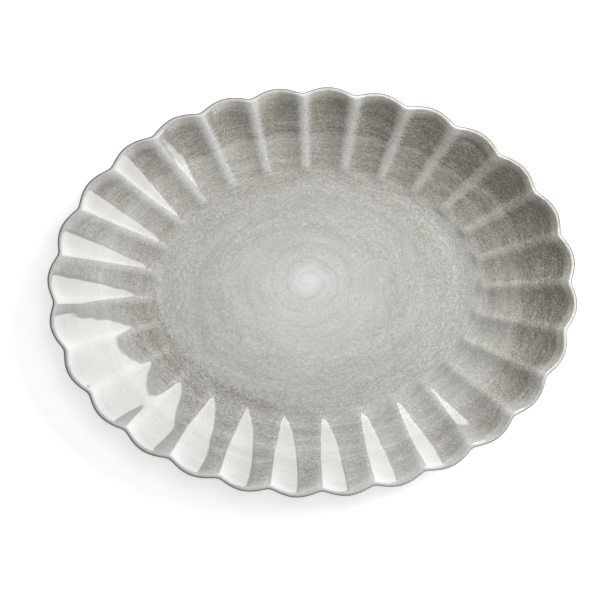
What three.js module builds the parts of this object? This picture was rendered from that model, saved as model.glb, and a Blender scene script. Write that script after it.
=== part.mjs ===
// An oval serving platter of fired stoneware: a shallow well, a wide rim pressed into flutes with a
// scalloped lip, and a low foot ring. The clay is covered by three coats of glaze that were brushed on
// and fired: one over the face and round the lip, one on the back, and one inside the foot ring. The
// foot ring's tread is wiped bare. Millimetres, +Z up, origin on the table under the middle of the dish.
import * as THREE from "three";

// Overall size, over the tips of the lobes and the tops of the ridges.
const RIM_LENGTH = 351;
const RIM_WIDTH = 271.7;
const HEIGHT = 34.8;

// The well, the oval floor that the flutes run out of.
const WELL_LENGTH = 202;
const WELL_WIDTH = 157;
const WELL_HEIGHT = 11;
const WELL_DISH = 1.5;

// The flutes. Each is a scoop between two ridges, which stand up from the well's edge on.
const FLUTES = 28;
const FLUTE_PHASE = 0.136; // share of a flute from the +X end to the first ridge
const FLUTE_SWEEP = THREE.MathUtils.degToRad(2.73); // how far a ridge swings from even oval spacing
const RIDGE_HEIGHT = 1.6; // over the middle of a flute, and how far the lip dips there
const RIDGE_START = 0.04; // share of a flute's run in which a ridge reaches half its height
const RIDGE_ROUNDING = 0.17; // softness of a ridge, as a share of half a flute's width
const SCALLOP = 4.1; // how far a lobe stands out past the ridges, in plan
const SCALLOP_GROWTH = 2.2; // power by which it does so towards the lip

// The rim's upward curve, and its thickness.
const PROFILE_POWER = 1.58;
const LIP_SLOPE = THREE.MathUtils.degToRad(30);
const WALL_THICKNESS = 6.2; // at the well
const LIP_THICKNESS = 4.4;

// The foot ring under the well's edge.
const FOOT_INSET = 2; // from the well's edge to the tread's outer edge
const FOOT_TREAD = 4;
const FOOT_FLARE = 1.5; // how far the ring's inner wall leans in as it rises
const FOOT_RECESS = 4; // from the table up to the glaze inside the ring

// The glaze, and how far above the table it stops on the foot ring's walls.
const GLAZE = 0.6;
const GLAZE_LINE = 1.6;

// Facets. A fluted ring has 6 points to a flute, closer together at its ridges.
const FLUTE_STEPS = [0, 0.13, 0.32, 0.5, 0.68, 0.87];
const PLAIN_POINTS = 2 * FLUTES;
const CORE_POINTS = FLUTES;
const CORE_SHARE = 0.45; // of the well's size, for its inner ring of facets
const PLAIN_SHARE = 0.83; // of the well's size, for its outer ring of facets
const FACE_REACHES = [0, 0.08, 0.28, 0.52, 0.77, 1];
const BACK_REACHES = [1, 0.75, 0.48, 0.22];
const LIP_ARCS = [0.33, 0.67]; // shares of the half turn round the lip

const TAU = 2 * Math.PI;
const LIP_RADIUS = LIP_THICKNESS / 2;
const LIP_OVERHANG = LIP_RADIUS * (1 + Math.sin(LIP_SLOPE));
const FACE_LENGTH = RIM_LENGTH - 2 * (SCALLOP + LIP_OVERHANG);
const FACE_WIDTH = RIM_WIDTH - 2 * (SCALLOP + LIP_OVERHANG);
const RISE = HEIGHT - WELL_HEIGHT - RIDGE_HEIGHT - LIP_RADIUS * (1 - Math.cos(LIP_SLOPE));
const FOOT_TOP = WELL_HEIGHT - WALL_THICKNESS;

function ovalPoint(length, width, angle) {
  return new THREE.Vector2((length / 2) * Math.cos(angle), (width / 2) * Math.sin(angle));
}

// The straight plan line of the flute at a turn, 0 to 1 round the dish. It starts on the well's edge and
// runs out to where the lip begins.
function fluteLine(turn) {
  const sweep = FLUTE_SWEEP * Math.sin(2 * TAU * turn);
  const start = ovalPoint(WELL_LENGTH, WELL_WIDTH, TAU * turn - sweep);
  const end = ovalPoint(FACE_LENGTH, FACE_WIDTH, TAU * turn + sweep);
  const run = start.distanceTo(end);
  const out = end.sub(start).divideScalar(run);
  return { start, out, run };
}

// How hollow the flute is at a turn: 0 on a ridge, and 1 in the middle between two.
function hollow(turn) {
  const rounded = (across) => Math.hypot(across, RIDGE_ROUNDING) - RIDGE_ROUNDING;
  return rounded(Math.sin(Math.PI * (turn * FLUTES - FLUTE_PHASE))) / rounded(1);
}

// A point of the rim: reach is 0 at the well and 1 at the lip, and depth goes down into the wall.
function rimPoint(turn, reach, depth) {
  const { start, out, run } = fluteLine(turn);
  const scoop = hollow(turn);
  const ridge = (1 - scoop) * reach * (1 + RIDGE_START) / (reach + RIDGE_START);
  const slope = LIP_SLOPE * reach ** (PROFILE_POWER - 1);
  const outward = run * reach + SCALLOP * scoop * reach ** SCALLOP_GROWTH + Math.sin(slope) * depth;
  const upward = RISE * reach ** PROFILE_POWER + RIDGE_HEIGHT * ridge - Math.cos(slope) * depth;
  const plan = start.addScaledVector(out, outward);
  return new THREE.Vector3(plan.x, plan.y, WELL_HEIGHT + upward);
}

// A point of the round lip: arc is 0 where the face ends and 1 where the back begins.
function lipPoint(turn, arc, depth) {
  const { out } = fluteLine(turn);
  const angle = Math.PI * arc - LIP_SLOPE;
  const radius = LIP_RADIUS - depth;
  const outward = out.multiplyScalar(radius * Math.sin(angle));
  const centre = rimPoint(turn, 1, LIP_RADIUS);
  return centre.add(new THREE.Vector3(outward.x, outward.y, radius * Math.cos(angle)));
}

// A point of the well's floor: share is 0 at the middle and 1 at the well's edge.
function wellPoint(turn, share, depth) {
  const { start } = fluteLine(turn);
  const dish = WELL_DISH * (1 - share ** 2) ** 2;
  return new THREE.Vector3(start.x * share, start.y * share, WELL_HEIGHT - dish - depth);
}

// A point of the foot ring: inset is measured in from the well's edge.
function footPoint(turn, inset, height) {
  const { start } = fluteLine(turn);
  const plan = start.setLength(start.length() - inset);
  return new THREE.Vector3(plan.x, plan.y, height);
}

function wallThickness(reach) {
  return THREE.MathUtils.lerp(WALL_THICKNESS, LIP_THICKNESS, reach);
}

function fluteTurn(flute) {
  return (flute + FLUTE_PHASE) / FLUTES;
}

function evenTurns(count) {
  return Array.from({ length: count }, (_, index) => fluteTurn((index * FLUTES) / count));
}

const CORE_TURNS = evenTurns(CORE_POINTS);
const PLAIN_TURNS = evenTurns(PLAIN_POINTS);
const FLUTED_TURNS = Array.from({ length: FLUTES }, (_, flute) =>
  FLUTE_STEPS.map((step) => fluteTurn(flute + step)),
).flat();

// The surfaces of the dish are lists of rings of points, at a depth below the glaze.
// The face goes from the middle of the well out to the lip.
function faceRings(depth) {
  return [
    [wellPoint(0, 0, depth)],
    CORE_TURNS.map((turn) => wellPoint(turn, CORE_SHARE, depth)),
    PLAIN_TURNS.map((turn) => wellPoint(turn, PLAIN_SHARE, depth)),
    ...FACE_REACHES.map((reach) => FLUTED_TURNS.map((turn) => rimPoint(turn, reach, depth))),
  ];
}

function lipRings(depth) {
  return LIP_ARCS.map((arc) => FLUTED_TURNS.map((turn) => lipPoint(turn, arc, depth)));
}

// The back goes from the lip in to the foot ring, then down the ring's outer wall to the glaze line.
function backRings(depth) {
  const lineInset = FOOT_INSET * (1 - GLAZE_LINE / FOOT_TOP) + depth;
  return [
    ...BACK_REACHES.map((reach) =>
      FLUTED_TURNS.map((turn) => rimPoint(turn, reach, wallThickness(reach) - depth)),
    ),
    PLAIN_TURNS.map((turn) => footPoint(turn, depth, FOOT_TOP + depth)),
    PLAIN_TURNS.map((turn) => footPoint(turn, lineInset, GLAZE_LINE)),
  ];
}

// The bare tread stands on the table. It is set in by the glaze that stops above it.
const TREAD_OUTER = FOOT_INSET + GLAZE;
const TREAD_INNER = TREAD_OUTER + FOOT_TREAD;

function treadRings() {
  return [TREAD_OUTER, TREAD_INNER].map((inset) => PLAIN_TURNS.map((turn) => footPoint(turn, inset, 0)));
}

// The base goes up the foot ring's inner wall from the glaze line, then in under the floor.
function baseRings(depth) {
  const skin = GLAZE - depth;
  const lineInset = TREAD_INNER + FOOT_FLARE * (GLAZE_LINE / FOOT_RECESS) + skin;
  const topInset = TREAD_INNER + FOOT_FLARE + skin;
  const height = FOOT_RECESS + depth;
  return [
    PLAIN_TURNS.map((turn) => footPoint(turn, lineInset, GLAZE_LINE)),
    PLAIN_TURNS.map((turn) => footPoint(turn, topInset, height)),
    [new THREE.Vector3(0, 0, height)],
  ];
}

// The triangles between two neighbouring rings, which may differ in how many points they have. Where
// both could step on, the wider ring does, so two solids that share a surface also share its facets.
function bridge(near, far, faces) {
  const steps = (ring) => (ring.count > 1 ? ring.count : 0);
  const point = (ring, step) => ring.start + (step % ring.count);
  const next = (ring, step) => (step < steps(ring) ? (step + 1) / steps(ring) : Infinity);
  const nearLeads = near.width > far.width;
  let nearStep = 0;
  let farStep = 0;
  while (nearStep < steps(near) || farStep < steps(far)) {
    const lag = next(far, farStep) - next(near, nearStep);
    const start = [point(near, nearStep), point(far, farStep)];
    if (lag > 0 || (lag === 0 && nearLeads)) {
      nearStep += 1;
      faces.push(...start, point(near, nearStep));
    } else {
      farStep += 1;
      faces.push(...start, point(far, farStep));
    }
  }
}

// A closed solid through its rings in order. If it doesn't start and end with one point on the dish's
// axis, its last ring is joined to its first.
function loft(rings) {
  const points = rings.flat();
  const spans = [];
  let start = 0;
  for (const ring of rings) {
    spans.push({ start, count: ring.length, width: Math.hypot(ring[0].x, ring[0].y) });
    start += ring.length;
  }
  const faces = [];
  spans.slice(1).forEach((span, index) => bridge(spans[index], span, faces));
  if (spans[0].count > 1) {
    bridge(spans.at(-1), spans[0], faces);
  }
  const geometry = new THREE.BufferGeometry().setFromPoints(points).setIndex(faces);
  geometry.computeVertexNormals();
  return geometry;
}

function piece(name, rings, material) {
  const mesh = new THREE.Mesh(loft(rings), material);
  mesh.name = name;
  return mesh;
}

const bareClay = new THREE.MeshStandardMaterial({ color: 0xe6ddcd, roughness: 0.85, metalness: 0 });
const greyGlaze = new THREE.MeshStandardMaterial({ color: 0xaaa9a3, roughness: 0.12, metalness: 0 });
const backGlaze = new THREE.MeshStandardMaterial({ color: 0xb4b3ad, roughness: 0.18, metalness: 0 });

// The face coat goes right round the lip, and meets the back coat where the back begins.
const lipEnd = [backRings(0)[0], backRings(GLAZE)[0]];
const faceCoat = [
  ...faceRings(0),
  ...lipRings(0),
  ...lipEnd,
  ...lipRings(GLAZE).reverse(),
  ...faceRings(GLAZE).reverse(),
];
const backCoat = [...backRings(0), ...backRings(GLAZE).reverse()];
const baseCoat = [...baseRings(GLAZE).reverse(), ...baseRings(0)];
const body = [
  ...faceRings(GLAZE),
  ...lipRings(GLAZE),
  ...backRings(GLAZE),
  ...treadRings(),
  ...baseRings(GLAZE),
];

const platter = new THREE.Group();
platter.add(
  piece("stoneware_body", body, bareClay),
  piece("face_glaze", faceCoat, greyGlaze),
  piece("back_glaze", backCoat, backGlaze),
  piece("base_glaze", baseCoat, backGlaze),
);

export default platter;
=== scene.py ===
import math

import bpy
import numpy as np
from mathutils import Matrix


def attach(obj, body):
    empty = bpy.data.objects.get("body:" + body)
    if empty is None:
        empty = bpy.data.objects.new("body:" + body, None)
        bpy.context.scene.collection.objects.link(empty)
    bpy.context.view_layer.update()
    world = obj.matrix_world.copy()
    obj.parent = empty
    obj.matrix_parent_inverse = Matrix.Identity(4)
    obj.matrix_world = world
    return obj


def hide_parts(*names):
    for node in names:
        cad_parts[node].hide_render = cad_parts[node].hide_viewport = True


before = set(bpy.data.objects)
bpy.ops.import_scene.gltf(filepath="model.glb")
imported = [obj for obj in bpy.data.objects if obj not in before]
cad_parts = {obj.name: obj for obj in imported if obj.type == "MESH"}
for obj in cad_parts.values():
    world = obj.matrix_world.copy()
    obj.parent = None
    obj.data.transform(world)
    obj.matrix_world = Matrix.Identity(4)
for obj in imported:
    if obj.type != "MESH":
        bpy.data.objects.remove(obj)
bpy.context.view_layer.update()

# Stoneware body
# The clay of the platter: well, fluted rim, lip and foot ring pressed as one body and fired. It is
# pale and matt, and shows only where the tread of the foot ring is wiped bare of glaze.
RIM_LENGTH = 0.351
RIM_WIDTH = 0.2717
HEIGHT = 0.0348
WELL_LENGTH = 0.202
WELL_WIDTH = 0.157
WELL_HEIGHT = 0.011
WELL_DISH = 0.0015
FLUTES = 28
FLUTE_PHASE = 0.136
FLUTE_SWEEP = math.radians(2.73)
RIDGE_HEIGHT = 0.0016
RIDGE_START = 0.065
RIDGE_DELAY = 0.13
DELAY_TURN = math.radians(15)
DELAY_NARROWNESS = 4
DELAY_QUICKER = 0.5
SLOW_TURN = math.radians(218)
SLOW_NARROWNESS = 6
SLOW_SLOWER = 1.3
RIDGE_ROUNDING = 0.17
SCALLOP = 0.0041
SCALLOP_GROWTH = 2.2
PROFILE_POWER = 1.58
LIP_SLOPE = math.radians(30)
WALL_THICKNESS = 0.0062
LIP_THICKNESS = 0.0044
FOOT_INSET = 0.002
FOOT_TREAD = 0.004
FOOT_FLARE = 0.0015
FOOT_RECESS = 0.004
FOOT_EDGE = 0.0006
GLAZE = 0.0006
GLAZE_LINE = 0.0016
HAND_WOBBLE = 0.00014
WOBBLE_LENGTH = 0.014
WOBBLE_START = 0.2
# Where the sheen lamp stands in plan: slopes leaning toward it are the ones that mirror it.
SHEEN_LAMP_PLAN = (0.346, 0.203)

LIP_RADIUS = LIP_THICKNESS / 2
LIP_OVERHANG = LIP_RADIUS * (1 + math.sin(LIP_SLOPE))
FOOT_TOP = WELL_HEIGHT - WALL_THICKNESS
TREAD_OUTER = FOOT_INSET + GLAZE
TREAD_INNER = TREAD_OUTER + FOOT_TREAD
SHARP_ANGLE = math.radians(40)

DISH_SIZES = {
    "Well length": WELL_LENGTH,
    "Well width": WELL_WIDTH,
    "Well height": WELL_HEIGHT,
    "Well dish": WELL_DISH,
    "Face length": RIM_LENGTH - 2 * (SCALLOP + LIP_OVERHANG),
    "Face width": RIM_WIDTH - 2 * (SCALLOP + LIP_OVERHANG),
    "Rise": HEIGHT - WELL_HEIGHT - RIDGE_HEIGHT - LIP_RADIUS * (1 - math.cos(LIP_SLOPE)),
    "Profile power": PROFILE_POWER,
    "Flutes": FLUTES,
    "Flute phase": FLUTE_PHASE,
    "Flute sweep": FLUTE_SWEEP,
    "Ridge height": RIDGE_HEIGHT,
    "Ridge start": RIDGE_START,
    "Ridge delay": RIDGE_DELAY,
    "Ridge rounding": RIDGE_ROUNDING,
    "Scallop": SCALLOP,
    "Scallop growth": SCALLOP_GROWTH,
    "Hand wobble": HAND_WOBBLE,
    "Wobble length": WOBBLE_LENGTH,
}


def feed(socket, value):
    if isinstance(value, Term):
        socket.id_data.links.new(value.socket, socket)
    else:
        socket.default_value = value


class Term:
    """A value that changes over the dish, so that the nodes can be written as sums."""

    def __init__(self, socket):
        self.socket = socket

    def work(self, operation, *values):
        return figure(self.socket.id_data, operation, *values)

    def __add__(self, other):
        return self.work("ADD", self, other)

    def __radd__(self, other):
        return self.work("ADD", other, self)

    def __sub__(self, other):
        return self.work("SUBTRACT", self, other)

    def __rsub__(self, other):
        return self.work("SUBTRACT", other, self)

    def __mul__(self, other):
        return self.work("MULTIPLY", self, other)

    def __rmul__(self, other):
        return self.work("MULTIPLY", other, self)

    def __truediv__(self, other):
        return self.work("DIVIDE", self, other)

    def __rtruediv__(self, other):
        return self.work("DIVIDE", other, self)

    def __pow__(self, other):
        return self.work("POWER", self, other)

    def sin(self):
        return self.work("SINE", self)

    def cos(self):
        return self.work("COSINE", self)

    def at_least(self, other):
        return self.work("MAXIMUM", self, other)

    def at_most(self, other):
        return self.work("MINIMUM", self, other)

    def ease(self, low, high):
        """0 below low and 1 above high, with a smooth step between. Low may be the larger."""
        node = self.socket.id_data.nodes.new("ShaderNodeMapRange")
        node.interpolation_type = "SMOOTHSTEP"
        feed(node.inputs["Value"], self)
        feed(node.inputs["From Min"], low)
        feed(node.inputs["From Max"], high)
        return Term(node.outputs["Result"])


def figure(tree, operation, *values):
    node = tree.nodes.new("ShaderNodeMath")
    node.operation = operation
    for socket, value in zip(node.inputs, values):
        feed(socket, value)
    return Term(node.outputs[0])


def length_of(across, along):
    return (across * across + along * along) ** 0.5


def vector_of(tree, *parts):
    node = tree.nodes.new("ShaderNodeCombineXYZ")
    for socket, part in zip(node.inputs, parts):
        feed(socket, part)
    return Term(node.outputs[0])


NOISE_MIDDLE = 0.5


def noise_of(tree, vector, scale, detail):
    """Noise that swings about 0."""
    node = tree.nodes.new("ShaderNodeTexNoise")
    feed(node.inputs["Vector"], vector)
    feed(node.inputs["Scale"], scale)
    feed(node.inputs["Detail"], detail)
    return Term(node.outputs[0]) - NOISE_MIDDLE


def parts_of(vector):
    node = vector.socket.id_data.nodes.new("ShaderNodeSeparateXYZ")
    feed(node.inputs[0], vector)
    return [Term(socket) for socket in node.outputs]


def fluted_dish():
    """The rule of the dish: it carries a flat lattice of section points round the fluted oval."""
    tree = bpy.data.node_groups.new("fluted_dish", "GeometryNodeTree")
    tree.interface.new_socket("Lattice", in_out="INPUT", socket_type="NodeSocketGeometry")
    for name in DISH_SIZES:
        tree.interface.new_socket(name, in_out="INPUT", socket_type="NodeSocketFloat")
    tree.interface.new_socket("Finish", in_out="INPUT", socket_type="NodeSocketMaterial")
    tree.interface.new_socket("Dish", in_out="OUTPUT", socket_type="NodeSocketGeometry")
    given = tree.nodes.new("NodeGroupInput").outputs
    size = {name: Term(given[name]) for name in DISH_SIZES}

    def read(name):
        node = tree.nodes.new("GeometryNodeInputNamedAttribute")
        node.data_type = "FLOAT"
        node.inputs["Name"].default_value = name
        return Term(node.outputs["Attribute"])

    turn = read("turn") * math.tau
    reach = read("reach").at_least(0)
    share = read("reach").at_most(0) + 1

    sweep = size["Flute sweep"] * (turn * 2).sin()
    start_x = size["Well length"] / 2 * (turn - sweep).cos()
    start_y = size["Well width"] / 2 * (turn - sweep).sin()
    run_x = size["Face length"] / 2 * (turn + sweep).cos() - start_x
    run_y = size["Face width"] / 2 * (turn + sweep).sin() - start_y
    run = length_of(run_x, run_y)

    across = ((read("turn") * size["Flutes"] - size["Flute phase"]) * math.pi).sin()
    rounding = size["Ridge rounding"]
    deepest = length_of(1.0, rounding) - rounding
    hollow = (length_of(across, rounding) - rounding) / deepest
    # The ridges start later at the right-hand end, and rise more slowly at the lower left.
    right_end = (turn - DELAY_TURN).cos().at_least(0) ** DELAY_NARROWNESS
    climb = (reach - size["Ridge delay"] * right_end).at_least(0) ** 2
    lower_left = (turn - SLOW_TURN).cos().at_least(0) ** SLOW_NARROWNESS
    soft = (size["Ridge start"] * (1 - right_end * DELAY_QUICKER + lower_left * SLOW_SLOWER)) ** 2
    ridge = (1 - hollow) * climb * (1 + soft) / (climb + soft)

    outward = run * reach + size["Scallop"] * hollow * reach ** size["Scallop growth"] + read("shift_out")
    dish = size["Well dish"] * (1 - share * share) ** 2
    upward = size["Rise"] * reach ** size["Profile power"] + size["Ridge height"] * ridge - dish
    x = start_x * share + run_x / run * outward
    y = start_y * share + run_y / run * outward
    plan = vector_of(tree, x, y, 0.0)
    wobble = noise_of(tree, plan, 1 / size["Wobble length"], 1.0) * size["Hand wobble"]
    wobble = wobble * reach.ease(0, WOBBLE_START)
    z = size["Well height"] + upward + read("shift_up") + wobble

    place = tree.nodes.new("GeometryNodeSetPosition")
    tree.links.new(given["Lattice"], place.inputs["Geometry"])
    feed(place.inputs["Position"], vector_of(tree, x, y, z))
    # The finishes read how far a place is into a flute, on which side of a ridge, and how it leans toward
    # the sheen lamp, which marks where that lamp is mirrored.
    normal = parts_of(Term(tree.nodes.new("GeometryNodeInputNormal").outputs[0]))
    toward_x = SHEEN_LAMP_PLAN[0] - x
    toward_y = SHEEN_LAMP_PLAN[1] - y
    tilt = (normal[0] * toward_x + normal[1] * toward_y) / length_of(toward_x, toward_y)
    made = place.outputs["Geometry"]
    side = ((read("turn") * size["Flutes"] - size["Flute phase"]) * math.tau).sin()
    for name, value in (("hollow", hollow), ("side", side), ("tilt", tilt)):
        keep = tree.nodes.new("GeometryNodeStoreNamedAttribute")
        keep.data_type = "FLOAT"
        keep.inputs["Name"].default_value = name
        tree.links.new(made, keep.inputs["Geometry"])
        feed(keep.inputs["Value"], value)
        made = keep.outputs["Geometry"]
    realise = tree.nodes.new("GeometryNodeRealizeInstances")
    tree.links.new(made, realise.inputs["Geometry"])
    finish = tree.nodes.new("GeometryNodeSetMaterial")
    tree.links.new(realise.outputs["Geometry"], finish.inputs["Geometry"])
    tree.links.new(given["Finish"], finish.inputs["Material"])
    result = tree.nodes.new("NodeGroupOutput")
    tree.links.new(finish.outputs["Geometry"], result.inputs["Dish"])
    return tree


DISH_RULE = fluted_dish()


def in_wall(reach, depth):
    """A section point below the face: how far along the flute, and the shift into the wall."""
    slope = LIP_SLOPE * max(reach, 0) ** (PROFILE_POWER - 1)
    return reach, math.sin(slope) * depth, -math.cos(slope) * depth, 0.0


def on_lip(arc, depth):
    """A section point round the lip: arc is 0 where the face ends and 1 where the back begins."""
    angle = math.pi * arc - LIP_SLOPE
    radius = LIP_RADIUS - depth
    shift_out = math.sin(LIP_SLOPE) * LIP_RADIUS + math.sin(angle) * radius
    shift_up = math.cos(angle) * radius - math.cos(LIP_SLOPE) * LIP_RADIUS
    return 1.0, shift_out, shift_up, arc


def on_back(reach, depth):
    thickness = WALL_THICKNESS + (LIP_THICKNESS - WALL_THICKNESS) * reach
    return in_wall(reach, thickness - depth)


def on_foot(inset, height):
    return 0.0, -inset, height - WELL_HEIGHT, 0.0


def under_floor(share, height):
    return share - 1, 0.0, height - WELL_HEIGHT + WELL_DISH * (1 - share**2) ** 2, 0.0


def face_section(depth, well_steps, rim_steps, lip_steps):
    well = [in_wall(share - 1, depth) for share in np.linspace(0, 1, well_steps + 1)[:-1]]
    rim = [in_wall(reach, depth) for reach in np.linspace(0, 1, rim_steps + 1)[:-1]]
    lip = [on_lip(arc, depth) for arc in np.linspace(0, 1, lip_steps + 1)]
    return well + rim + lip


def back_section(depth, steps):
    """The back, from just under the lip to the corner where the foot ring starts."""
    reaches = np.linspace(1, 0, steps + 1)[1:-1]
    return [on_back(reach, depth) for reach in reaches] + [on_foot(depth, FOOT_TOP + depth)]


def wall_inset(height):
    """The foot ring's outer wall, measured in from the well's edge on the glaze."""
    return FOOT_INSET * (1 - height / FOOT_TOP)


def flare_inset(height):
    """The foot ring's inner wall, on the clay."""
    return TREAD_INNER + FOOT_FLARE * height / FOOT_RECESS


def shaped(name, section, columns, finish):
    """Makes a piece: the section's points repeated round the dish, closed and placed by the rule."""
    poles = section[0][0] == -1
    turns = (np.arange(columns) * FLUTES / columns + FLUTE_PHASE) / FLUTES
    points = []
    starts = []
    for number, station in enumerate(section):
        pole = poles and number in (0, len(section) - 1)
        starts.append((len(points), 1 if pole else columns))
        points += [(turn, *station) for turn in (turns[:1] if pole else turns)]
    faces = []
    pairs = list(zip(starts, starts[1:] + starts[:1]))
    for (near, near_count), (far, far_count) in pairs[:-1] if poles else pairs:
        for step in range(columns):
            after = (step + 1) % columns
            corners = [near + step % near_count, far + step % far_count]
            corners += [far + after % far_count, near + after % near_count]
            faces.append(list(dict.fromkeys(corners)))
    mesh = bpy.data.meshes.new(name)
    mesh.from_pydata([(point[0], point[1], 0) for point in points], [], faces)
    for number, attribute in enumerate(("turn", "reach", "shift_out", "shift_up", "lip_arc")):
        values = mesh.attributes.new(attribute, "FLOAT", "POINT").data
        values.foreach_set("value", np.array([point[number] for point in points], np.float32))
    piece = bpy.data.objects.new(name, mesh)
    bpy.context.scene.collection.objects.link(piece)
    rule = piece.modifiers.new("fluted dish", "NODES")
    rule.node_group = DISH_RULE
    for socket in DISH_RULE.interface.items_tree:
        if socket.name in DISH_SIZES:
            rule[socket.identifier] = float(DISH_SIZES[socket.name])
        elif socket.name == "Finish":
            rule[socket.identifier] = finish
    graph = bpy.context.evaluated_depsgraph_get()
    plain = bpy.data.meshes.new_from_object(piece.evaluated_get(graph), depsgraph=graph)
    piece.modifiers.clear()
    piece.data = plain
    plain.name = name
    plain.shade_smooth()
    plain.set_sharp_from_angle(angle=SHARP_ANGLE)
    return piece


def linear(*levels):
    """A colour from its levels on screen, 0 to 255."""
    shares = [level / 255 for level in levels]
    return [s / 12.92 if s <= 0.04045 else ((s + 0.055) / 1.055) ** 2.4 for s in shares] + [1.0]


def new_finish(name):
    material = bpy.data.materials.new(name)
    material.use_nodes = True
    tree = material.node_tree
    return material, tree, tree.nodes["Principled BSDF"]


def object_place(tree):
    return Term(tree.nodes.new("ShaderNodeTexCoord").outputs["Object"])


def blend(tree, share, first, second):
    """A colour between two colours."""
    node = tree.nodes.new("ShaderNodeMix")
    node.data_type = "RGBA"
    feed(node.inputs["Factor"], share)
    feed(node.inputs[6], first)
    feed(node.inputs[7], second)
    return Term(node.outputs[2])


def relief(tree, shader, height, distance):
    bump = tree.nodes.new("ShaderNodeBump")
    bump.inputs["Distance"].default_value = distance
    feed(bump.inputs["Height"], height)
    feed(shader.inputs["Normal"], Term(bump.outputs["Normal"]))


CLAY_PALE = linear(228, 219, 203)
CLAY_DARK = linear(196, 183, 164)
CLAY_SPECK = linear(138, 120, 100)
PATCH_SCALE = 90.0
GRIT_SCALE = 2200.0
SPECK_SCALE = 700.0
CLAY_ROUGHNESS = 0.82
CLAY_SHINE = 0.3
CLAY_RELIEF = 0.0002

bare_clay, tree, shader = new_finish("bare_clay")
place = object_place(tree)
patches = noise_of(tree, place, PATCH_SCALE, 3.0)
grit = noise_of(tree, place, GRIT_SCALE, 2.0)
specks = noise_of(tree, place, SPECK_SCALE, 0.0).ease(0.2, 0.26)
clay = blend(tree, (patches * 1.6 + grit * 0.8 + 0.4).ease(0, 1), CLAY_PALE, CLAY_DARK)
feed(shader.inputs["Base Color"], blend(tree, specks, clay, CLAY_SPECK))
feed(shader.inputs["Roughness"], CLAY_ROUGHNESS + grit * 0.3)
shader.inputs["Specular IOR Level"].default_value = CLAY_SHINE
relief(tree, shader, grit + patches * 0.5, CLAY_RELIEF)

tread_edge = FOOT_EDGE * (1 - math.sqrt(0.5))
body_section = face_section(GLAZE, 8, 16, 4)
body_section += back_section(GLAZE, 12)
body_section += [
    on_foot(wall_inset(GLAZE_LINE) + GLAZE, GLAZE_LINE),
    on_foot(wall_inset(FOOT_EDGE) + GLAZE, FOOT_EDGE),
    on_foot(TREAD_OUTER + tread_edge, tread_edge),
    on_foot(TREAD_OUTER + FOOT_EDGE, 0.0),
    on_foot(TREAD_INNER - FOOT_EDGE, 0.0),
    on_foot(TREAD_INNER - tread_edge, tread_edge),
    on_foot(flare_inset(FOOT_EDGE), FOOT_EDGE),
    on_foot(flare_inset(GLAZE_LINE), GLAZE_LINE),
    on_foot(flare_inset(FOOT_RECESS), FOOT_RECESS + GLAZE),
]
body_section += [under_floor(share, FOOT_RECESS + GLAZE) for share in (0.8, 0.4, 0)]
body = shaped("stoneware_platter", body_section, 8 * FLUTES, bare_clay)
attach(body, "root")
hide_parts("stoneware_body")

# Face glaze
# A grey glassy glaze brushed on over the well, the flutes and the lip, and melted on in the firing. It is
# thin and pale on the ridges, on the lip and where the brush started, and gathers darker in the flutes.
# Part of its colour round the dish is painted light and shade, marked below where it is.
SPOT_X = -0.002
SPOT_Y = 0.008
SPOT_RADIUS = 0.016
SPOT_MIDDLE = 0.001
SPOT_RAGGEDNESS = 0.0013
COIL_PITCH = 0.0095
COIL_INNER = 0.012
COIL_OUTER = 0.06
COIL_SHARPNESS = 7
WANDER_SCALE = 45.0
STROKE_TURNS = 6
STROKE_RINGS = 45
STROKE_WANDER = 0.08
COIL_WANDER = 6

# Thicknesses of the coats. Glaze of thickness 1 lets about a third of the light back through it.
WELL_COAT = 0.225
WELL_EDGE_COAT = 0.26
COIL_COAT = 0.08
SPOT_LOSS = 0.22
EDGE_LINE = 0.985
EDGE_LINE_WIDTH = 0.006
EDGE_LINE_COAT = 0.05
FLUTE_COAT = 0.6
FLUTE_FOOT_COAT = 0.06
SECOND_COAT = 0.22
SECOND_START = 0.54
SECOND_END = 0.66
POOL_COAT = 0.24
POOL_START = 0.62
POOL_END = 0.95
LAP = 0.58
LAP_WIDTH = 0.012
LAP_COAT = 0.06
LAP_WANDER = 0.12
RIM_EDGE_WIDTH = 0.065
RIDGE_PALE_WIDTH = 0.38
RIDGE_PALE = 0.36
SHEEN_MIRROR_START = 0.27
SHEEN_MIRROR_FULL = 0.33
SHEEN_GRAIN_CALM = 0.75
SHEEN_PAINTED_SHADE = 0.2
LIP_PALE_START = 0.915
LIP_PALE = 0.45
LIP_ROLL_PALE = 0.18
LIP_EDGE_SHADE = 1.45

CLAY_UNDER = np.array(linear(234, 234, 234)[:3])
GLAZE_TINT = np.array([1.0, 1.04, 1.19])
WARM_TINT = np.array([1.0, 1.06, 1.285])
COOL_TINT = np.array([1.0, 1.02, 1.095])
RAMP_THICKNESS = 1.6
RAMP_STOPS = 9
RAMP_END = 0.999
GLAZE_ROUGHNESS = 0.045
GLAZE_IOR = 1.6
BRUSH_RELIEF = 0.0000008


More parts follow.
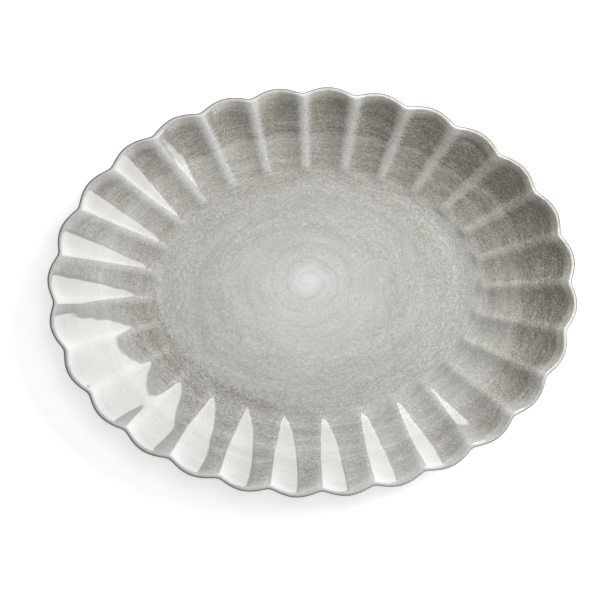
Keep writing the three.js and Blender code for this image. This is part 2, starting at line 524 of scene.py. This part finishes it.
def glaze_grain():
    """The grain that the brush leaves, as a share of the glaze's thickness, its streaks and its clouds."""
    tree = bpy.data.node_groups.new("glaze_grain", "ShaderNodeTree")
    tree.interface.new_socket("Strokes", in_out="INPUT", socket_type="NodeSocketVector")
    for name in ("Grain", "Streak", "Cloud"):
        tree.interface.new_socket(name, in_out="OUTPUT", socket_type="NodeSocketFloat")
    given = tree.nodes.new("NodeGroupInput")
    result = tree.nodes.new("NodeGroupOutput")
    place = object_place(tree)
    strokes = Term(given.outputs[0])
    fine_grain = noise_of(tree, place, 1400.0, 1.0) * 8
    coarse_grain = noise_of(tree, place, 520.0, 1.0) * 3
    feed(result.inputs["Grain"], fine_grain + coarse_grain)
    bands = noise_of(tree, strokes, 0.22, 1.0) * 5
    lines = noise_of(tree, strokes, 1.0, 1.0) * 3 + noise_of(tree, strokes, 2.9, 1.0) * 5
    feed(result.inputs["Streak"], bands + lines)
    feed(result.inputs["Cloud"], noise_of(tree, place, 55.0, 3.0) * 7)
    return tree


GLAZE_GRAIN = glaze_grain()


def read_attribute(tree, name):
    node = tree.nodes.new("ShaderNodeAttribute")
    node.attribute_name = name
    return Term(node.outputs["Fac"])


def glaze_colour(tree, thickness, tint):
    """The colour of pale clay seen through grey glaze of a thickness."""
    node = tree.nodes.new("ShaderNodeValToRGB")
    ramp = node.color_ramp
    for number in range(RAMP_STOPS):
        place = number / (RAMP_STOPS - 1)
        stop = ramp.elements[0] if number == 0 else ramp.elements.new(min(place, RAMP_END))
        stop.color = [*CLAY_UNDER * np.exp(-RAMP_THICKNESS * place * tint), 1.0]
    ramp.elements.remove(ramp.elements[-1])
    feed(node.inputs["Fac"], thickness / RAMP_THICKNESS)
    return Term(node.outputs["Color"])


def brushed(tree, strokes):
    node = tree.nodes.new("ShaderNodeGroup")
    node.node_tree = GLAZE_GRAIN
    feed(node.inputs[0], strokes)
    return [Term(socket) for socket in node.outputs]


def fine_line(value, middle, width):
    """1 where the value is at the middle, and almost 0 two widths away."""
    away = (value - middle) / width
    return away.work("EXPONENT", 0 - away * away)


face_glaze, tree, shader = new_finish("face_glaze")
place = object_place(tree)
along, up_page, _ = parts_of(place)
hollow = read_attribute(tree, "hollow")
side = read_attribute(tree, "side")
reach = read_attribute(tree, "reach").at_least(0)
arc = read_attribute(tree, "lip_arc")

# The brush went round and round from a spot beside the middle, and spread to follow the oval of the well.
share_x = along / (WELL_LENGTH / 2)
share_y = up_page / (WELL_WIDTH / 2)
share = length_of(share_x, share_y).at_most(1)
swirl_x = share_x - (1 - share) * (SPOT_X / (WELL_LENGTH / 2))
swirl_y = share_y - (1 - share) * (SPOT_Y / (WELL_WIDTH / 2))
swirl = length_of(swirl_x, swirl_y).at_least(0.001)
facing_x = swirl_x / swirl
facing_y = swirl_y / swirl
level = swirl.at_most(1) + reach
wander = noise_of(tree, place, WANDER_SCALE, 1.0)
stroke_rings = (level + wander * STROKE_WANDER) * STROKE_RINGS
strokes = vector_of(tree, facing_x * STROKE_TURNS, facing_y * STROKE_TURNS, stroke_rings)
grain, streak, cloud = brushed(tree, strokes)


def toward(right, up):
    """How far a place lies to one side of the dish, from -1 to 1."""
    return facing_x * right + facing_y * up


diagonal = facing_x * facing_y * 2
ends = facing_x * facing_x
thirds = facing_x * (4 * ends - 3)
upper_right = toward(0.57, 0.82)
upper_left = toward(-0.4, 0.9)
lower_left = toward(-0.8, -0.6)
right_end = toward(math.cos(DELAY_TURN), math.sin(DELAY_TURN)).at_least(0) ** DELAY_NARROWNESS
late = right_end * RIDGE_DELAY

# In the well the coat is thin round the spot, shows the brush's coil, and is thicker toward the edge.
from_spot = length_of(along - SPOT_X, up_page - SPOT_Y)
turned = figure(tree, "ARCTAN2", facing_y, facing_x)
coil = from_spot * (math.tau / COIL_PITCH) + turned + wander * COIL_WANDER
groove = ((coil.cos() + 1) / 2) ** COIL_SHARPNESS * from_spot.ease(COIL_OUTER, COIL_INNER)
spot = (from_spot - coil.sin() * SPOT_RAGGEDNESS).ease(SPOT_RADIUS, SPOT_MIDDLE)
well = WELL_COAT + share.ease(0.1, 0.9) * WELL_EDGE_COAT + groove * COIL_COAT - spot * SPOT_LOSS
well = well + (facing_y.at_least(0) * 0.08 + facing_x * 0.03) * share.ease(0.75, 1.0)
well = well + fine_line(level, EDGE_LINE, EDGE_LINE_WIDTH) * EDGE_LINE_COAT

# On the flutes a second stroke overlaps the first at the lap, and the glaze pools at their outer ends.
# The coat's thickness changes round the dish and is thickest on the upper right flutes, which face away
# from the key lamp: this is partly a fuller brush on those sides and partly painted shade.
load_and_shade = diagonal * 0.12 + facing_x * (reach * 0.33 - 0.13) + thirds * reach.ease(0.2, 0.8) * 0.08
load_and_shade = load_and_shade + (ends - 0.75) * reach.ease(0.68, 0.9) * 0.25
load_and_shade = load_and_shade + upper_right.at_least(0) ** 2 * reach.ease(0.4, 0.15) * 0.05
load_and_shade = load_and_shade + (upper_right.at_least(0) * 0.17 + upper_right * 0.18 - 0.18) * reach.ease(0.2, 0.95)
second = (reach + streak * 0.015 + wander * 0.1).ease(SECOND_START, SECOND_END)
lap = fine_line(reach + wander * LAP_WANDER, LAP, LAP_WIDTH) * (1 + upper_right)
rim = FLUTE_COAT + reach.ease(0.1, 0.4) * FLUTE_FOOT_COAT + load_and_shade + second * SECOND_COAT
rim = rim + reach.ease(POOL_START, POOL_END) * hollow * POOL_COAT + lap * LAP_COAT

# The well's coat gives way to the flutes' along a ragged oval.
start = 0.04 + facing_x * 0.09 + facing_y * 0.02 + ends * 0.1 - diagonal * 0.03 + late * 0.15
ragged = level - 1 + grain * 0.01 + cloud * 0.01
on_rim = ((ragged - start) / RIM_EDGE_WIDTH).ease(-0.5, 0.5)
thickness = well + (rim - well) * on_rim

# The glaze runs thin and pale on the ridges. The pale band is pushed toward one flank and made paler
# toward the top and upper left, as painted light on the flanks and sides that face the light; it is made
# less pale toward the right and the lower left, as painted shade.
wider_before = 0.08 + facing_y * 0.07 + diagonal * 0.1
wider_after = ends * 0.15 + upper_left.at_least(0) * 0.1
lit_flank_shift = side.at_most(0) * wider_before - side.at_least(0) * wider_after
ridge = (hollow + lit_flank_shift + grain * 0.03).ease(RIDGE_PALE_WIDTH, 0.0) * (reach - late).ease(0.02, 0.16)
painted_ridge_shade = facing_x.at_least(0) * (0.12 + diagonal * 0.2) + lower_left.at_least(0) * 0.95
ridge_pale_and_light = RIDGE_PALE + toward(-0.058, 0.261) + upper_left.at_least(0) * reach.ease(0.3, 0.7) * 0.15
ridge_pale_and_light = ridge_pale_and_light * (1 - painted_ridge_shade * reach.ease(0.4, 0.9))
thickness = thickness - ridge * ridge_pale_and_light * thickness

# The slopes that lean toward the sheen lamp mirror it. There, and a little toward the upper right, the
# brush's grain is damped.
stipple = grain * (0.25 + ridge * 0.06) + streak * (0.15 + reach * 0.02) + cloud * (0.02 + reach * 0.1)
sheen_mirror = read_attribute(tree, "tilt").ease(SHEEN_MIRROR_START, SHEEN_MIRROR_FULL)
calm = sheen_mirror * SHEEN_GRAIN_CALM + upper_right.at_least(0) * reach * 0.15
thickness = thickness * (1 + stipple * (1 - calm))
# Painted shade: where the sheen lamp is mirrored, outside the middle of the lower left and less toward the
# right, the coat is made thicker and darker to tone down the mirrored lamp.
sheen_shade = SHEEN_PAINTED_SHADE - facing_x.at_least(0) * reach.ease(0.5, 0.8) * 0.28
thickness = thickness + sheen_mirror * lower_left.ease(0.97, 0.75) * sheen_shade

# Toward the lip the coat thins out, but less where the sheen lamp is mirrored, as painted shade. A dark
# band round the outside of the lip, darker to the left, is painted shade for the lip's outer edge that
# faces away from the light.
lip_edge = reach + (1 - hollow) * 0.03 + grain * 0.006
thinning = lip_edge.ease(LIP_PALE_START, 1.0) * LIP_PALE + arc.ease(0.0, 0.2) * LIP_ROLL_PALE
thinning = thinning * (1 - sheen_mirror * 0.5)
lip_edge_shade = (arc - facing_x * 0.05).ease(0.32, 0.46) - arc.ease(0.66, 0.85)
thickness = thickness * (1 - thinning) + lip_edge_shade * (LIP_EDGE_SHADE - facing_x * 0.25)

# On the flutes the tint is painted light in part: cooler toward the lit lower left and cooler still where
# the sheen lamp is mirrored, warmer toward the top, the right and on the ridges.
warm = glaze_colour(tree, thickness, WARM_TINT)
cool = glaze_colour(tree, thickness, COOL_TINT)
warmth = 0.48 + (facing_y * 0.22 + facing_x * 0.06 + ridge * 0.2) * on_rim - sheen_mirror * 0.4
feed(shader.inputs["Base Color"], blend(tree, warmth, cool, warm))
shader.inputs["Roughness"].default_value = GLAZE_ROUGHNESS
shader.inputs["IOR"].default_value = GLAZE_IOR
relief(tree, shader, grain * 0.3 + streak, BRUSH_RELIEF)

face_outer = face_section(0, 26, 56, 14)
face_inner = face_section(GLAZE, 4, 12, 4)
face = shaped("face_glaze_coat", face_outer + face_inner[::-1], 24 * FLUTES, face_glaze)
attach(face, "root")
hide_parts("face_glaze")

# Back glaze
# The same glaze poured over the underside, from under the lip to a wiped line on the foot ring's wall.
# It is plainer and a little paler than the face, and thickens to a soft bead at its edge.
BACK_COAT = 0.6
BACK_RIDGE_COAT = 0.22
BACK_LIP_LOSS = 0.25
BACK_STROKE_TURNS = 2.2
BACK_STROKE_RINGS = 380
BACK_ROUGHNESS = 0.1
BACK_RELIEF = 0.000006

back_glaze, tree, shader = new_finish("back_glaze")
hollow = read_attribute(tree, "hollow")
reach = read_attribute(tree, "reach").at_least(0)
along, up_page, _ = parts_of(object_place(tree))
away = length_of(along, up_page).at_least(0.001)
stroke_x = along / away * BACK_STROKE_TURNS
stroke_y = up_page / away * BACK_STROKE_TURNS
grain, streak, cloud = brushed(tree, vector_of(tree, stroke_x, stroke_y, away * BACK_STROKE_RINGS))
thickness = BACK_COAT + (1 - hollow) * reach * BACK_RIDGE_COAT - reach.ease(0.9, 1.0) * BACK_LIP_LOSS
thickness = thickness * (1 + grain * 0.05 + streak * 0.04 + cloud * 0.04)
feed(shader.inputs["Base Color"], glaze_colour(tree, thickness, GLAZE_TINT))
feed(shader.inputs["Roughness"], BACK_ROUGHNESS + grain * 0.012)
shader.inputs["IOR"].default_value = GLAZE_IOR
relief(tree, shader, grain * 0.2 + streak, BACK_RELIEF)

BEAD = 0.0006
BEAD_TURNS = (0.35, 0.7, 0.93)


def bead(inset, side, height):
    """The rounded edge where a coat of glaze ends on a wall of the foot ring."""
    rounds = []
    for share in BEAD_TURNS:
        skin = GLAZE * math.sqrt(1 - share**2)
        rounds.append(on_foot(inset(height) + side * skin, height + BEAD * (1 - share)))
    return rounds


back_outer = [on_lip(1, 0)] + back_section(0, 36)
back_outer += [on_foot(wall_inset(GLAZE_LINE + BEAD), GLAZE_LINE + BEAD)]
back_outer += bead(lambda height: wall_inset(height) + GLAZE, -1, GLAZE_LINE)
back_inner = [on_lip(1, GLAZE)] + back_section(GLAZE, 8)
back_inner += [on_foot(wall_inset(GLAZE_LINE) + GLAZE, GLAZE_LINE)]
back = shaped("back_glaze_coat", back_outer + back_inner[::-1], 16 * FLUTES, back_glaze)
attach(back, "root")
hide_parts("back_glaze")

# Base glaze
# The patch of glaze inside the foot ring, cut off from the back by the bare tread. It covers the ring's
# inner wall and the underside of the well.
base_inner = [under_floor(share, FOOT_RECESS + GLAZE) for share in (0, 0.4, 0.8)]
base_inner += [
    on_foot(flare_inset(FOOT_RECESS), FOOT_RECESS + GLAZE),
    on_foot(flare_inset(GLAZE_LINE), GLAZE_LINE),
]
base_outer = bead(flare_inset, 1, GLAZE_LINE)[::-1]
base_outer += [
    on_foot(flare_inset(GLAZE_LINE + BEAD) + GLAZE, GLAZE_LINE + BEAD),
    on_foot(flare_inset(FOOT_RECESS) + GLAZE - BEAD / 2, FOOT_RECESS - BEAD),
    on_foot(flare_inset(FOOT_RECESS) + GLAZE + BEAD / 2, FOOT_RECESS - BEAD / 4),
    on_foot(flare_inset(FOOT_RECESS) + GLAZE + 2 * BEAD, FOOT_RECESS),
]
base_outer += [under_floor(share, FOOT_RECESS) for share in (0.8, 0.6, 0.4, 0.2, 0)]
base = shaped("base_glaze_coat", base_inner + base_outer, 8 * FLUTES, back_glaze)
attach(base, "root")
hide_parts("base_glaze")

# Stage
# A plain white floor that takes the platter's shadow, soft studio light from the upper right, and a camera
# straight above. The wide lamp called sheen is the one that the glaze mirrors on the lower left flutes.
FLOOR_HALF = 6.0
FLOOR_COLOUR = (0.93, 0.93, 0.93, 1)
FLOOR_GLOW = 0.58
WORLD_STRENGTH = 0.2
SHEEN_ROLL = math.radians(-5.8)

floor_mesh = bpy.data.meshes.new("floor")
corners = [(x * FLOOR_HALF, y * FLOOR_HALF, 0) for x, y in ((-1, -1), (1, -1), (1, 1), (-1, 1))]
floor_mesh.from_pydata(corners, [], [(0, 1, 2, 3)])
floor = bpy.data.objects.new("floor", floor_mesh)
bpy.context.scene.collection.objects.link(floor)
floor_white, tree, shader = new_finish("floor_white")
shader.inputs["Base Color"].default_value = FLOOR_COLOUR
shader.inputs["Roughness"].default_value = 1.0
shader.inputs["Specular IOR Level"].default_value = 0.0
path = tree.nodes.new("ShaderNodeLightPath").outputs
in_view = Term(path["Is Camera Ray"]).at_least(Term(path["Is Glossy Ray"]))
in_view = in_view.at_least(Term(path["Is Transmission Ray"]))
shader.inputs["Emission Color"].default_value = (1, 1, 1, 1)
feed(shader.inputs["Emission Strength"], in_view * FLOOR_GLOW)
floor_mesh.materials.append(floor_white)


def lamp(name, azimuth, elevation, distance, width, height, watts):
    """A flat soft lamp that faces the middle of the platter."""
    data = bpy.data.lights.new(name, "AREA")
    data.shape = "RECTANGLE"
    data.size = width
    data.size_y = height
    data.energy = watts
    thing = bpy.data.objects.new(name, data)
    bpy.context.scene.collection.objects.link(thing)
    turn, lift = math.radians(azimuth), math.radians(elevation)
    thing.location = (
        distance * math.cos(lift) * math.cos(turn),
        distance * math.cos(lift) * math.sin(turn),
        distance * math.sin(lift) + WELL_HEIGHT,
    )
    thing.rotation_euler = (math.pi / 2 - lift, 0, turn + math.pi / 2)
    return thing


key = lamp("key", azimuth=35, elevation=35, distance=1.3, width=0.7, height=0.7, watts=16.4)
key.visible_glossy = False
top = lamp("top", azimuth=55, elevation=78, distance=1.3, width=0.7, height=0.7, watts=4.5)
top.visible_glossy = False
sheen = lamp("sheen", azimuth=30.4, elevation=46.2, distance=0.58, width=0.98, height=0.42, watts=8.1)
sheen.rotation_euler.rotate_axis("Z", SHEEN_ROLL)
sheen.visible_diffuse = False

world = bpy.data.worlds.new("studio")
world.use_nodes = True
bpy.context.scene.world = world
background = world.node_tree.nodes["Background"]
background.inputs["Color"].default_value = (1, 1, 1, 1)
background.inputs["Strength"].default_value = WORLD_STRENGTH

FRAME_PIXELS = 600
LENGTH_ON_PAGE = 529.8
PIXEL = 0.350 / LENGTH_ON_PAGE
CAMERA_HEIGHT = 1.6
FOCUS_HEIGHT = 0.03
PLATTER_PIXEL = (312.375, 292.246)
PLATTER_TURN = math.radians(0.72)
SENSOR_WIDTH = 36.0
CLIP_END = 30.0
camera_data = bpy.data.cameras.new("camera")
camera = bpy.data.objects.new("camera", camera_data)
bpy.context.scene.collection.objects.link(camera)
right = (FRAME_PIXELS / 2 - PLATTER_PIXEL[0]) * PIXEL
upward = (PLATTER_PIXEL[1] - FRAME_PIXELS / 2) * PIXEL
camera.location = (
    right * math.cos(PLATTER_TURN) + upward * math.sin(PLATTER_TURN),
    upward * math.cos(PLATTER_TURN) - right * math.sin(PLATTER_TURN),
    CAMERA_HEIGHT,
)
camera.rotation_euler = (0, 0, -PLATTER_TURN)
camera_data.sensor_width = SENSOR_WIDTH
camera_data.lens = SENSOR_WIDTH * (CAMERA_HEIGHT - FOCUS_HEIGHT) / (FRAME_PIXELS * PIXEL)
camera_data.clip_end = CLIP_END
bpy.context.scene.camera = camera
bpy.context.scene.view_settings.view_transform = "Standard"
